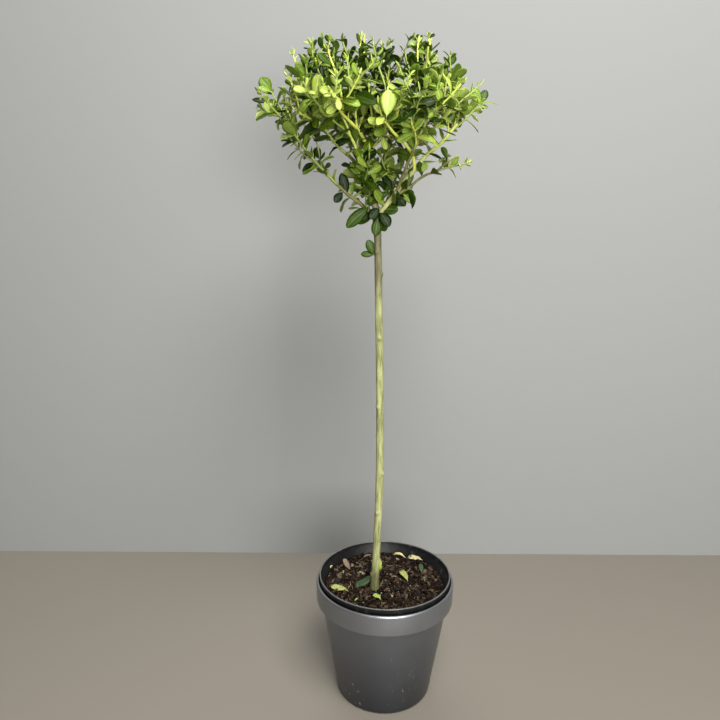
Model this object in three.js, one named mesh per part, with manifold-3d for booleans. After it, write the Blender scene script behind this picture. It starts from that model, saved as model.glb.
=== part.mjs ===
// A small broad-leaved evergreen grown as a standard: a bare stem under a loose, fan-shaped head
// of leaves, in a black nursery pot that stands inside a charcoal planter.
// Millimetres, +Z up. The origin is the middle of the planter's flat underside, and -Y is the front.
import * as THREE from "three";
import { mergeVertices } from "three/addons/utils/BufferGeometryUtils.js";
import Module from "manifold-3d";

const wasm = await Module();
wasm.setup();

// ---- Driving dimensions -------------------------------------------------------------------

const CLEARANCE = 0.3; // left between pieces that touch

// The planter: a tapered tub with a deep, stepped band round its mouth.
const PLANTER_HEIGHT = 149;
const RIM_RADIUS = 85;
const BAND_HEIGHT = 25;
const SHOULDER_RADIUS = 78.5;
const FOOT_RADIUS = 59;
const FOOT_ROUND = 4;
const PLANTER_WALL = 2;
const PLANTER_FLOOR = 3;

// The nursery pot that holds the roots is a liner, and stands on the planter's floor.
const LINER_TOP = 156;
const LINER_LIP_RADIUS = 81;
const LINER_LIP_HEIGHT = 9;
const LINER_SHOULDER_RADIUS = 77;
const LINER_FOOT_RADIUS = 54;
const LINER_WALL = 1.5;

// The compost, which fills the nursery pot to a little below its lip.
const COMPOST_TOP = 140;
const COMPOST_DISH = 2; // how much lower it lies along the wall
const COMPOST_DISH_WIDTH = 12;

// The stem, from the compost to the fork where the head begins.
const STEM_FOOT = new THREE.Vector3(-12.7, -12, COMPOST_TOP + CLEARANCE);
const FORK = new THREE.Vector3(-15, 0, 596);
const STEM_BOW = 5.5; // how far the stem bows to the right between them
const STEM_RADIUS = 4.7;
const FORK_RADIUS = 4.1;
const ROOT_FLARE = 1.3; // added to the radius at the compost
const ROOT_FLARE_HEIGHT = 14;

// The head: the middle of its widest level, where the leaf masses are set out from.
const HEAD = new THREE.Vector3(-18, 0, 704);

const POT_SEGMENTS = 36;
const LIMB_SIDES = 7;

// Each bough leaves its parent at a share of the parent's length. Azimuth runs from +X towards
// the back, and rise is the angle above level; curl is added to the rise along the bough.
const BOUGHS = [
  { name: "leader", from: "stem", at: 1, azimuth: 176, rise: 72, curl: -2, length: 125, foot: 3.8 },
  { name: "right", from: "stem", at: 0.98, azimuth: 354, rise: 54, curl: -10, length: 130, foot: 3.1 },
  { name: "left_low", from: "stem", at: 0.985, azimuth: 182, rise: 33, curl: 18, length: 112, foot: 2.3 },
  { name: "upright", from: "leader", at: 0.28, azimuth: 10, rise: 80, curl: -6, length: 100, foot: 2.6 },
  { name: "left", from: "leader", at: 0.32, azimuth: 190, rise: 44, curl: 4, length: 90, foot: 2 },
  { name: "back_left", from: "leader", at: 0.12, azimuth: 122, rise: 50, curl: 0, length: 110, foot: 2.2 },
  { name: "back_right", from: "right", at: 0.12, azimuth: 62, rise: 50, curl: -2, length: 110, foot: 2.1 },
  { name: "right_low", from: "right", at: 0.18, azimuth: 346, rise: 34, curl: -4, length: 80, foot: 1.8 },
  { name: "front_left", from: "leader", at: 0.2, azimuth: 238, rise: 54, curl: -4, length: 105, foot: 2 },
  { name: "front_right", from: "right", at: 0.26, azimuth: 298, rise: 52, curl: -2, length: 100, foot: 2 },
];
const BOUGH_TAPER = 0.5; // a bough's radius at its tip, as a share of its foot's

// Each leaf mass is set out from HEAD by its azimuth, its distance out and its rise or drop, and
// reaches so far along that azimuth, across it and upwards. An earlier mass is whole, and a later
// one is trimmed to fit against it.
const MASSES = [
  { name: "heart", azimuth: 270, out: 0, up: -8, along: 44, across: 42, high: 29 },
  { name: "left", azimuth: 182, out: 86, up: 2, along: 48, across: 44, high: 30 },
  { name: "right", azimuth: 358, out: 84, up: 4, along: 45, across: 46, high: 25 },
  { name: "front_left", azimuth: 236, out: 80, up: 2, along: 44, across: 48, high: 34 },
  { name: "front_right", azimuth: 304, out: 78, up: 2, along: 42, across: 48, high: 33 },
  { name: "back_right", azimuth: 56, out: 82, up: 2, along: 44, across: 50, high: 34 },
  { name: "back_left", azimuth: 124, out: 80, up: 4, along: 44, across: 50, high: 34 },
  { name: "top_left", azimuth: 178, out: 48, up: 35, along: 42, across: 50, high: 33 },
  { name: "top_right", azimuth: 2, out: 46, up: 42, along: 42, across: 50, high: 32 },
  { name: "top", azimuth: 90, out: 0, up: 45, along: 60, across: 38, high: 30 },
];

// Tufts are the small masses of the lower head. They close round the boughs that pass them.
const TUFTS = [
  { name: "low_left", azimuth: 180, out: 72, up: -52, along: 30, across: 26, high: 21 },
  { name: "low_right", azimuth: 0, out: 72, up: -56, along: 34, across: 26, high: 21 },
  { name: "low_front", azimuth: 272, out: 34, up: -60, along: 26, across: 30, high: 20 },
  { name: "low_back", azimuth: 88, out: 36, up: -58, along: 28, across: 32, high: 22 },
  { name: "fork", azimuth: 310, out: 8, up: -110, along: 25, across: 23, high: 18 },
];

const LUMP_HEIGHT = 0.1; // how far a mass's surface swells and sinks, as a share of its reach
const MASS_DETAIL = 3;
const TUFT_DETAIL = 2;

// ---- Solids -------------------------------------------------------------------------------

function toSolid(geometry) {
  const bare = (geometry.index ? geometry.toNonIndexed() : geometry).clone();
  bare.deleteAttribute("normal");
  bare.deleteAttribute("uv");
  const merged = mergeVertices(bare, 1e-3);
  return new wasm.Manifold(
    new wasm.Mesh({
      numProp: 3,
      vertProperties: new Float32Array(merged.attributes.position.array),
      triVerts: new Uint32Array(merged.index.array),
    }),
  );
}

function toGeometry(solid) {
  const mesh = solid.getMesh();
  const geometry = new THREE.BufferGeometry();
  geometry.setAttribute("position", new THREE.BufferAttribute(mesh.vertProperties, 3));
  geometry.setIndex(new THREE.BufferAttribute(mesh.triVerts, 1));
  geometry.computeVertexNormals();
  return geometry;
}

// The largest of the separate bodies that a cut leaves.
function mainBody(solid) {
  return solid.decompose().reduce((a, b) => (b.volume() > a.volume() ? b : a));
}

// The separate body that reaches lowest, which on a bough is the one at its foot.
function lowestBody(solid) {
  const foot = (body) => body.boundingBox().min[2];
  return solid.decompose().reduce((a, b) => (foot(b) < foot(a) ? b : a));
}

function trim(solid, neighbours) {
  return neighbours.reduce((left, neighbour) => left.subtract(neighbour), solid);
}

// A closed profile of [radius, height] pairs, turned about the upright axis.
function turned(profile) {
  const points = profile.map(([radius, height]) => new THREE.Vector2(radius, height));
  return new THREE.LatheGeometry(points, POT_SEGMENTS).rotateX(Math.PI / 2);
}

// ---- The planter, nursery pot and compost ---------------------------------------------------

function planter() {
  const bandFoot = PLANTER_HEIGHT - BAND_HEIGHT;
  const bandInside = RIM_RADIUS - PLANTER_WALL;
  return turned([
    [0, 0],
    [FOOT_RADIUS - FOOT_ROUND, 0],
    [FOOT_RADIUS - FOOT_ROUND * 0.3, FOOT_ROUND * 0.3],
    [FOOT_RADIUS, FOOT_ROUND],
    [SHOULDER_RADIUS, bandFoot],
    [RIM_RADIUS - 1, bandFoot],
    [RIM_RADIUS, bandFoot + 1],
    [RIM_RADIUS, PLANTER_HEIGHT - 1],
    [RIM_RADIUS - 1, PLANTER_HEIGHT],
    [bandInside, PLANTER_HEIGHT],
    [bandInside, bandFoot + PLANTER_WALL],
    [SHOULDER_RADIUS - PLANTER_WALL, bandFoot + PLANTER_WALL],
    [FOOT_RADIUS - PLANTER_WALL, PLANTER_FLOOR],
    [0, PLANTER_FLOOR],
  ]);
}

const LINER_FOOT = PLANTER_FLOOR + CLEARANCE;
const LINER_LIP_FOOT = LINER_TOP - LINER_LIP_HEIGHT;

function nurseryPot() {
  const lipInside = LINER_LIP_RADIUS - LINER_WALL;
  return turned([
    [0, LINER_FOOT],
    [LINER_FOOT_RADIUS, LINER_FOOT],
    [LINER_SHOULDER_RADIUS, LINER_LIP_FOOT],
    [LINER_LIP_RADIUS, LINER_LIP_FOOT],
    [LINER_LIP_RADIUS, LINER_TOP],
    [lipInside, LINER_TOP],
    [lipInside, LINER_LIP_FOOT + LINER_WALL],
    [LINER_SHOULDER_RADIUS - LINER_WALL, LINER_LIP_FOOT + LINER_WALL],
    [LINER_FOOT_RADIUS - LINER_WALL, LINER_FOOT + LINER_WALL],
    [0, LINER_FOOT + LINER_WALL],
  ]);
}

// The nursery pot's inside radius at a height below its lip.
function linerInside(height) {
  const share = (height - LINER_FOOT) / (LINER_LIP_FOOT - LINER_FOOT);
  return THREE.MathUtils.lerp(LINER_FOOT_RADIUS, LINER_SHOULDER_RADIUS, share) - LINER_WALL;
}

function compost() {
  const foot = LINER_FOOT + LINER_WALL + CLEARANCE;
  const edge = COMPOST_TOP - COMPOST_DISH;
  return turned([
    [0, foot],
    [linerInside(foot) - CLEARANCE * 2, foot],
    [linerInside(edge) - CLEARANCE, edge],
    [linerInside(edge) - COMPOST_DISH_WIDTH, COMPOST_TOP],
    [0, COMPOST_TOP],
  ]);
}

// ---- The stem and boughs ------------------------------------------------------------------

function heading(azimuth, rise) {
  const a = THREE.MathUtils.degToRad(azimuth);
  const r = THREE.MathUtils.degToRad(rise);
  return new THREE.Vector3(Math.cos(r) * Math.cos(a), Math.cos(r) * Math.sin(a), Math.sin(r));
}

function stemPath() {
  const third = STEM_FOOT.clone().lerp(FORK, 0.36);
  third.x += STEM_BOW;
  const top = STEM_FOOT.clone().lerp(FORK, 0.86);
  top.x += STEM_BOW * 0.4;
  return new THREE.CatmullRomCurve3([STEM_FOOT, third, top, FORK]);
}

function boughPath(foot, { azimuth, rise, curl, length }) {
  const knee = foot.clone().addScaledVector(heading(azimuth, rise), length / 2);
  const tip = knee.clone().addScaledVector(heading(azimuth, rise + curl), length / 2);
  return new THREE.QuadraticBezierCurve3(foot, knee, tip);
}

// A limb is a blank turned to the limb's radius and then bent along its path.
function limb(path, radiusAt, steps) {
  const profile = [new THREE.Vector2(0, 0)];
  for (let i = 0; i <= steps; i++) {
    profile.push(new THREE.Vector2(radiusAt(i / steps), i / steps));
  }
  profile.push(new THREE.Vector2(0, 1));
  const blank = new THREE.LatheGeometry(profile, LIMB_SIDES);
  const frames = path.computeFrenetFrames(steps);
  const at = blank.attributes.position;
  for (let i = 0; i < at.count; i++) {
    const share = at.getY(i);
    const step = Math.round(share * steps);
    const point = path
      .getPointAt(share)
      .addScaledVector(frames.binormals[step], at.getX(i))
      .addScaledVector(frames.normals[step], at.getZ(i));
    at.setXYZ(i, point.x, point.y, point.z);
  }
  return toSolid(blank);
}

const STEM_STEPS = 16;
const BOUGH_STEPS = 5;

function stemRadius(path) {
  const length = path.getLength();
  return (share) => {
    const flare = ROOT_FLARE * Math.exp((-share * length) / ROOT_FLARE_HEIGHT);
    return THREE.MathUtils.lerp(STEM_RADIUS, FORK_RADIUS, share) + flare;
  };
}

// The stem's foot is cut flat, level with the compost.
function levelFoot(solid) {
  const ground = new THREE.BoxGeometry(RIM_RADIUS, RIM_RADIUS, STEM_RADIUS);
  ground.translate(STEM_FOOT.x, STEM_FOOT.y, STEM_FOOT.z - STEM_RADIUS / 2);
  return solid.subtract(toSolid(ground));
}

function growLimbs() {
  const stem = stemPath();
  const paths = new Map([["stem", stem]]);
  const radius = stemRadius(stem);
  const grown = [limb(stem, (share) => radius(share) + CLEARANCE, STEM_STEPS)];
  const solids = new Map([["stem", levelFoot(limb(stem, radius, STEM_STEPS))]]);
  for (const bough of BOUGHS) {
    const path = boughPath(paths.get(bough.from).getPointAt(bough.at), bough);
    const taper = (share) => bough.foot * THREE.MathUtils.lerp(1, BOUGH_TAPER, share);
    const whole = limb(path, taper, BOUGH_STEPS);
    paths.set(bough.name, path);
    solids.set(bough.name, mainBody(trim(whole, grown)));
    grown.push(limb(path, (share) => taper(share) + CLEARANCE, BOUGH_STEPS));
  }
  return { solids, grown };
}

// ---- The leaf masses ------------------------------------------------------------------------

// An uneven ball whose surface swells and sinks in a pattern of its own.
function leafMass({ azimuth, out, up, along, across, high }, pattern, detail, extra = 0) {
  const ball = new THREE.IcosahedronGeometry(1, detail);
  const at = ball.attributes.position;
  const point = new THREE.Vector3();
  for (let i = 0; i < at.count; i++) {
    point.fromBufferAttribute(at, i);
    const swell =
      Math.sin(3.1 * point.x + 1.7 * pattern) * Math.cos(2.7 * point.y - 0.9 * pattern) +
      Math.sin(4.3 * point.z + 2.3 * pattern) * Math.cos(3.7 * point.x + pattern);
    const size = 1 + LUMP_HEIGHT * swell * (1 - Math.abs(point.x) ** 8);
    point.multiply(new THREE.Vector3(along, across, high).multiplyScalar(size).addScalar(extra));
    at.setXYZ(i, point.x, point.y, point.z);
  }
  const centre = HEAD.clone().addScaledVector(heading(azimuth, 0), out);
  ball.rotateZ(THREE.MathUtils.degToRad(azimuth)).translate(centre.x, centre.y, centre.z + up);
  return toSolid(ball);
}

function growMasses(limbs) {
  const solids = new Map();
  const grown = [];
  [...MASSES, ...TUFTS].forEach((mass, pattern) => {
    const isTuft = pattern >= MASSES.length;
    const detail = isTuft ? TUFT_DETAIL : MASS_DETAIL;
    const beside = isTuft ? [...grown, ...limbs.grown] : grown;
    solids.set(mass.name, mainBody(trim(leafMass(mass, pattern, detail), beside)));
    grown.push(leafMass(mass, pattern, detail, CLEARANCE));
  });
  return { solids, grown: grown.slice(0, MASSES.length) };
}

// ---- The whole plant ------------------------------------------------------------------------

const CHARCOAL_PLASTIC = new THREE.MeshStandardMaterial({ color: 0x4b4d50, roughness: 0.42, metalness: 0.1 });
const BLACK_PLASTIC = new THREE.MeshStandardMaterial({ color: 0x141517, roughness: 0.55, metalness: 0 });
const PEAT = new THREE.MeshStandardMaterial({ color: 0x3a261b, roughness: 0.95, metalness: 0 });
const BARK = new THREE.MeshStandardMaterial({ color: 0x8d9068, roughness: 0.75, metalness: 0 });
const LEAF = new THREE.MeshStandardMaterial({ color: 0x4f7a2a, roughness: 0.45, metalness: 0 });

const plant = new THREE.Group();

function addNode(name, geometry, material) {
  const mesh = new THREE.Mesh(geometry, material);
  mesh.name = name;
  plant.add(mesh);
}

addNode("planter", planter(), CHARCOAL_PLASTIC);
addNode("nursery_pot", nurseryPot(), BLACK_PLASTIC);
addNode("compost", compost(), PEAT);

const limbs = growLimbs();
const masses = growMasses(limbs);
for (const [name, solid] of limbs.solids) {
  const bare = lowestBody(trim(solid, masses.grown));
  addNode(name === "stem" ? name : "bough_" + name, toGeometry(bare), BARK);
}
for (const [name, solid] of masses.solids) {
  addNode("leaves_" + name, toGeometry(solid), LEAF);
}

export default plant;
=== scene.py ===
import math

import bpy
import numpy as np
from mathutils import Matrix, Vector, noise


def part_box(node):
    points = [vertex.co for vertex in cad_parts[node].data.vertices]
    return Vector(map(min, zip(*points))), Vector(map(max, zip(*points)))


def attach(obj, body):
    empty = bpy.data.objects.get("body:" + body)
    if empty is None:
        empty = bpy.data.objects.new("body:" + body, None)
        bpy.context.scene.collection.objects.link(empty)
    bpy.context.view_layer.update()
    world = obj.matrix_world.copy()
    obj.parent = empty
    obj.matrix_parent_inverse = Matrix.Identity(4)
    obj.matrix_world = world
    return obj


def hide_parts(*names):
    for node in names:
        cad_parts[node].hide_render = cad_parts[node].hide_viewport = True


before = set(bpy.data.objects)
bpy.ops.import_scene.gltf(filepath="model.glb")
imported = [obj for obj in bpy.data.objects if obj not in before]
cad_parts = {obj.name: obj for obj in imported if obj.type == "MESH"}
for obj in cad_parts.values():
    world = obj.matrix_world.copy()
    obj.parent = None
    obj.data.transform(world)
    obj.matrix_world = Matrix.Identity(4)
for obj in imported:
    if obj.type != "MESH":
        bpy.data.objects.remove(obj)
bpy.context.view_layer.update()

scene = bpy.context.scene
scene.view_settings.view_transform = "Standard"


# ---- Camera ----
# The view is from just above the middle of the head, a little left of the stem, looking down
# far enough to see the compost.

CAMERA_PLACE = (-0.0323, -0.752, 0.591)
CAMERA_LENS = 33.25
LOOK_DOWN = math.radians(12.38)
CAMERA_ROLL = math.radians(0.35)

camera = bpy.data.objects.new("camera", bpy.data.cameras.new("camera"))
camera.data.lens = CAMERA_LENS
camera.data.sensor_width = 36
tilt = Matrix.Rotation(math.pi / 2 - LOOK_DOWN, 4, "X") @ Matrix.Rotation(CAMERA_ROLL, 4, "Z")
camera.matrix_world = Matrix.Translation(CAMERA_PLACE) @ tilt
scene.collection.objects.link(camera)
scene.camera = camera


# ---- Planter ----
# A charcoal tub, injection-moulded in satin plastic with a deep band round its mouth. The faint
# clouding is in the plastic, and its lower side has been scuffed on the bench.
# Its body is painted darker towards the foot, and its band painted lighter, as painted shade and painted
# light.


class Wire:
    """A shader value. Sums, products and quotients of wires add their Math nodes."""

    def __init__(self, finish, socket):
        self.finish = finish
        self.socket = socket

    def maths(self, operation, first, second=None):
        inputs = {0: first} if second is None else {0: first, 1: second}
        return self.finish.node("Math", {"operation": operation}, inputs)

    def __add__(self, other):
        return self.maths("ADD", self, other)

    def __sub__(self, other):
        return self.maths("SUBTRACT", self, other)

    def __mul__(self, other):
        return self.maths("MULTIPLY", self, other)

    def __truediv__(self, other):
        return self.maths("DIVIDE", self, other)

    def __radd__(self, other):
        return self.maths("ADD", other, self)

    def __rsub__(self, other):
        return self.maths("SUBTRACT", other, self)

    def __rmul__(self, other):
        return self.maths("MULTIPLY", other, self)

    def __rtruediv__(self, other):
        return self.maths("DIVIDE", other, self)


class Finish:
    """A material, built up node by node round one Principled shader."""

    def __init__(self, name, **values):
        self.material = bpy.data.materials.new(name)
        self.material.use_nodes = True
        self.tree = self.material.node_tree
        self.shader = self.tree.nodes["Principled BSDF"]
        for socket, value in values.items():
            self.set(socket.replace("_", " ").title().replace("Ior", "IOR"), value)
        self.place = self.node("TexCoord", output="Object")

    def set(self, socket, value):
        """Gives one of the shader's sockets a plain value or a wire."""
        if isinstance(value, Wire):
            self.tree.links.new(value.socket, self.shader.inputs[socket])
        elif isinstance(value, tuple):
            self.shader.inputs[socket].default_value = (*value, 1)
        else:
            self.shader.inputs[socket].default_value = value

    def node(self, kind, settings=None, inputs=None, output=0):
        """Adds a node, with its settings first, and returns the wire of one output."""
        made = self.tree.nodes.new("ShaderNode" + kind)
        for name, value in (settings or {}).items():
            if name == "stops":
                ramp = made.color_ramp.elements
                while len(ramp) < len(value):
                    ramp.new(1)
                for element, (at, colour) in zip(ramp, value):
                    element.position = at
                    element.color = (*colour, 1)
            else:
                setattr(made, name, value)
        for socket, value in (inputs or {}).items():
            if isinstance(value, Wire):
                self.tree.links.new(value.socket, made.inputs[socket])
            elif isinstance(value, tuple) and made.inputs[socket].type == "RGBA":
                made.inputs[socket].default_value = (*value, 1)
            else:
                made.inputs[socket].default_value = value
        return Wire(self, made.outputs[output])

    def noise(self, size, detail=3, roughness=0.5, place=None, stretch=None):
        """Cloudy noise from 0 to 1, whose clouds are about size metres across."""
        place = place or self.place
        if stretch:
            place = self.node("Mapping", None, {"Vector": place, "Scale": stretch})
        inputs = {"Vector": place, "Scale": 1 / size, "Detail": detail, "Roughness": roughness}
        return self.node("TexNoise", None, inputs, "Fac")

    def step(self, value, low, high):
        """A soft step: 0 where value is under low, and 1 where it is over high."""
        inputs = {"Value": value, "From Min": low, "From Max": high}
        return self.node("MapRange", {"interpolation_type": "SMOOTHSTEP"}, inputs)

    def blend(self, share, first, second):
        """Two colours mixed by a share."""
        return self.node("Mix", {"data_type": "RGBA"}, {0: share, 6: first, 7: second}, 2)

    def bump(self, height, depth):
        """Raises the surface by up to depth metres where height is 1."""
        normal = self.node("Bump", None, {"Height": height, "Distance": depth})
        self.set("Normal", normal)


def turned(profile, sides):
    """Points and faces of a closed profile of (radius, height) pairs turned on the upright axis."""
    points, faces, rings = [], [], []
    for radius, height in profile:
        if radius == 0:
            rings.append([len(points)] * sides)
            points.append((0, 0, height))
            continue
        rings.append(range(len(points), len(points) + sides))
        for side in range(sides):
            angle = side / sides * math.tau
            points.append((radius * math.cos(angle), radius * math.sin(angle), height))
    for low, high in zip(rings, rings[1:]):
        for side in range(sides):
            after = (side + 1) % sides
            corners = (low[side], low[after], high[after], high[side])
            faces.append(tuple(dict.fromkeys(corners)))
    return points, faces


def arc(centre, radius, start, end, steps=6):
    """(radius, height) pairs round part of a circle, from one angle in degrees to another."""
    angles = [math.radians(start + (end - start) * i / steps) for i in range(steps + 1)]
    return [(centre[0] + radius * math.cos(a), centre[1] + radius * math.sin(a)) for a in angles]


def add_piece(name, slot, points, faces, finishes, worn=None):
    """Makes a smooth mesh piece that rides on the plant. worn gives each face's finish."""
    mesh = bpy.data.meshes.new(name)
    mesh.from_pydata([tuple(p) for p in points], [], [tuple(f) for f in faces])
    for finish in finishes:
        mesh.materials.append(finish.material)
    if worn is not None:
        mesh.polygons.foreach_set("material_index", worn)
    mesh.shade_smooth()
    piece = bpy.data.objects.new(name, mesh)
    scene.collection.objects.link(piece)
    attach(piece, "root")
    return piece


POT_SIDES = 144
planter_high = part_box("planter")[1]
RIM_RADIUS = planter_high[0]
PLANTER_HEIGHT = planter_high[2]
BAND_HEIGHT = 0.0252
SHOULDER_RADIUS = 0.0785
PLANTER_FOOT_RADIUS = 0.059
PLANTER_WALL = 0.002
PLANTER_FLOOR = 0.003
FOOT_ROUND = 0.0045
FOOT_RING = 0.007
FOOT_RECESS = 0.0015
SHOULDER_ROUND = 0.0008
BAND_DRAFT = 0.0006
BAND_ROUND = 0.0009
RIM_ROUND = 0.0024
RIM_WALL = 0.003
RIM_EDGE = 0.0006

band_foot = PLANTER_HEIGHT - BAND_HEIGHT
planter_profile = [
    (0, FOOT_RECESS),
    (PLANTER_FOOT_RADIUS - FOOT_RING - 0.004, FOOT_RECESS),
    (PLANTER_FOOT_RADIUS - FOOT_RING - 0.002, FOOT_RECESS * 0.2),
    (PLANTER_FOOT_RADIUS - FOOT_RING, 0),
    *arc((PLANTER_FOOT_RADIUS - FOOT_ROUND, FOOT_ROUND), FOOT_ROUND, -90, -9),
    *arc((SHOULDER_RADIUS + SHOULDER_ROUND, band_foot - SHOULDER_ROUND), SHOULDER_ROUND, 171, 90, 4),
    *arc((RIM_RADIUS - BAND_DRAFT - BAND_ROUND, band_foot + BAND_ROUND), BAND_ROUND, -90, -2),
    *arc((RIM_RADIUS - RIM_ROUND, PLANTER_HEIGHT - RIM_ROUND), RIM_ROUND, 0, 90, 10),
    *arc((RIM_RADIUS - RIM_WALL + RIM_EDGE, PLANTER_HEIGHT - RIM_EDGE), RIM_EDGE, 90, 180, 4),
    (RIM_RADIUS - RIM_WALL, band_foot + PLANTER_WALL),
    (SHOULDER_RADIUS - PLANTER_WALL, band_foot + PLANTER_WALL - SHOULDER_ROUND),
    (PLANTER_FOOT_RADIUS - PLANTER_WALL, PLANTER_FLOOR),
    (0, PLANTER_FLOOR),
]

# The middles of the patches where it has been knocked.
KNOCKS = ((0.029, -0.055, 0.05), (-0.037, -0.045, 0.02), (0.03, 0.052, 0.04))

charcoal = Finish("charcoal_plastic", ior=1.5)
clouds = charcoal.noise(0.028, 4, 0.6)
grain = charcoal.noise(0.0016, 2)
height_up = charcoal.node("SeparateXYZ", None, {0: charcoal.place}, "Z")
scratches = charcoal.noise(0.0035, 4, 0.7, stretch=(1, 1, 0.35))
scuffed = charcoal.step(scratches, 0.62, 0.68)
knocked = charcoal.step(charcoal.noise(0.03, 1), 0.5, 0.6) * 0.3
for knock in KNOCKS:
    gap = charcoal.node("VectorMath", {"operation": "DISTANCE"}, {0: charcoal.place, 1: knock}, "Value")
    knocked = knocked + charcoal.step(gap, 0.026, 0.012)
below_the_hand = charcoal.step(height_up, 0.1, 0.07) * charcoal.step(height_up, 0.004, 0.01)
scuffed = scuffed * knocked * below_the_hand
specks = charcoal.step(charcoal.noise(0.0022, 1), 0.77, 0.79)
plain_tone = charcoal.blend(clouds, (0.172, 0.181, 0.203), (0.218, 0.229, 0.254))
# The body is painted darker towards its foot, as painted shade.
foot_painted_shade_tone = charcoal.blend(clouds, (0.055, 0.0585, 0.068), (0.07, 0.0745, 0.086))
# The band is painted lighter than the body, as painted light on its upright face.
band_painted_light_tone = charcoal.blend(clouds, (0.222, 0.231, 0.25), (0.285, 0.296, 0.318))
plastic = charcoal.blend(height_up / band_foot, foot_painted_shade_tone, plain_tone)
plastic = charcoal.blend(charcoal.step(height_up, band_foot - 0.0008, band_foot), plastic, band_painted_light_tone)
plastic = charcoal.blend(scuffed * 0.75, plastic, (0.5, 0.49, 0.47))
charcoal.set("Base Color", charcoal.blend(specks * 0.3, plastic, (0.3, 0.29, 0.27)))
charcoal.set("Metallic", 0.85 - scuffed * 0.6)
charcoal.set("Roughness", 0.33 + clouds * 0.1 + scuffed * 0.3)
charcoal.bump(clouds * 0.5 + grain * 0.25, 0.00035)

planter_mesh = turned(planter_profile, POT_SIDES)
planter = add_piece("planter_shell", "charcoal_plastic", *planter_mesh, [charcoal])
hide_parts("planter")


# ---- Nursery pot ----
# The thin black pot that the plant was grown in. It is blow-moulded with a turned-out lip,
# stands loose inside the planter, and is dusty with dried compost above the fill.

nursery_low, nursery_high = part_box("nursery_pot")
LIP_RADIUS = nursery_high[0]
LIP_TOP = nursery_high[2]
LIP_HEIGHT = 0.009
NURSERY_SHOULDER_RADIUS = 0.077
NURSERY_FOOT_RADIUS = 0.054
NURSERY_WALL = 0.0013
LIP_ROUND = 0.0009

nursery_foot = nursery_low[2]
lip_foot = LIP_TOP - LIP_HEIGHT
nursery_profile = [
    (0, nursery_foot),
    (NURSERY_FOOT_RADIUS - 0.002, nursery_foot),
    (NURSERY_FOOT_RADIUS, nursery_foot + 0.002),
    (NURSERY_SHOULDER_RADIUS, lip_foot - 0.001),
    (NURSERY_SHOULDER_RADIUS + 0.001, lip_foot),
    (LIP_RADIUS - 0.0012, lip_foot + 0.0002),
    (LIP_RADIUS - 0.0003, lip_foot + 0.001),
    *arc((LIP_RADIUS - LIP_ROUND, LIP_TOP - LIP_ROUND), LIP_ROUND, 0, 180, 8),
    (LIP_RADIUS - 2 * LIP_ROUND - 0.0003, lip_foot + 0.0022),
    (NURSERY_SHOULDER_RADIUS - NURSERY_WALL, lip_foot + 0.0004),
    (NURSERY_FOOT_RADIUS - NURSERY_WALL, nursery_foot + NURSERY_WALL),
    (0, nursery_foot + NURSERY_WALL),
]

black = Finish("black_plastic", specular_ior_level=0.26)
dust = black.noise(0.011, 6, 0.68)
drips = black.noise(0.006, 3, 0.6, stretch=(1, 1, 0.3))
dusty = black.step(dust * 0.6 + drips * 0.4, 0.52, 0.74)
nursery_up = black.node("SeparateXYZ", None, {0: black.place}, "Z")
# A lighter grey along the top of the lip is a painted highlight; the lip top is also made glossier.
lip_painted_highlight = black.step(nursery_up, LIP_TOP - 0.0014, LIP_TOP - 0.0004)
black_tone = black.blend(dusty, (0.0045, 0.0048, 0.005), (0.045, 0.042, 0.036))
black.set("Base Color", black.blend(lip_painted_highlight * (0.25 + drips * 0.5), black_tone, (0.2, 0.2, 0.2)))
black.set("Roughness", 0.46 + dusty * 0.4 - lip_painted_highlight * 0.2)
black.bump(dust, 0.0004)

nursery_mesh = turned(nursery_profile, POT_SIDES)
nursery_pot = add_piece("nursery_pot_shell", "black_plastic", *nursery_mesh, [black])
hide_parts("nursery_pot")


# ---- Compost ----
# Moist bark and peat, filled to a little below the lip. A lumpy bed holds the fill up, and
# loose chips, crumbs and pale fibres lie over it, pressed a little into one another.

COMPOST_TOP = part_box("compost")[1][2]
COMPOST_RADIUS = NURSERY_SHOULDER_RADIUS - NURSERY_WALL - 0.0016
BED_DEPTH = 0.03
BED_RISE = 0.0012
BED_SLOPE = 0.012
# How many lumps to a metre, and how high they are.
BED_LUMPS = ((40, 0.0014), (130, 0.0012), (330, 0.0009), (800, 0.0005))
# A small hole, and the hollow round the stem: (x, y, half width, half length, depth)
BED_HOLLOWS = ((-0.001, -0.033, 0.0055, 0.004, 0.006), (-0.0127, -0.017, 0.011, 0.011, 0.0018))
BED_RINGS = 84
BED_SIDES = 260
rng = np.random.default_rng(17)


def bed_height(x, y):
    """The height of the compost's own surface, which is higher at the back."""
    here = Vector((x, y, 0))
    lumps = sum(height * noise.noise(here * pitch) for pitch, height in BED_LUMPS)
    hollows = 0
    for middle_x, middle_y, wide, long, deep in BED_HOLLOWS:
        hollows += deep * math.exp(-(((x - middle_x) / wide) ** 2) - ((y - middle_y) / long) ** 2)
    return COMPOST_TOP + BED_RISE + BED_SLOPE * y + lumps - hollows


bed_points = [(0, 0, bed_height(0, 0))]
bed_faces = []
for ring in range(1, BED_RINGS + 1):
    radius = COMPOST_RADIUS * ring / BED_RINGS
    for side in range(BED_SIDES):
        angle = side / BED_SIDES * math.tau
        x, y = radius * math.cos(angle), radius * math.sin(angle)
        bed_points.append((x, y, bed_height(x, y)))
for side in range(BED_SIDES):
    angle = side / BED_SIDES * math.tau
    inset = COMPOST_RADIUS - 0.005
    bed_points.append((inset * math.cos(angle), inset * math.sin(angle), COMPOST_TOP - BED_DEPTH))
for side in range(BED_SIDES):
    after = (side + 1) % BED_SIDES
    bed_faces.append((0, 1 + side, 1 + after))
    for ring in range(BED_RINGS):
        inner, outer = 1 + ring * BED_SIDES, 1 + (ring + 1) * BED_SIDES
        bed_faces.append((inner + side, outer + side, outer + after, inner + after))
underside = 1 + BED_RINGS * BED_SIDES
bed_faces.append(tuple(underside + side for side in reversed(range(BED_SIDES))))

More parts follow.
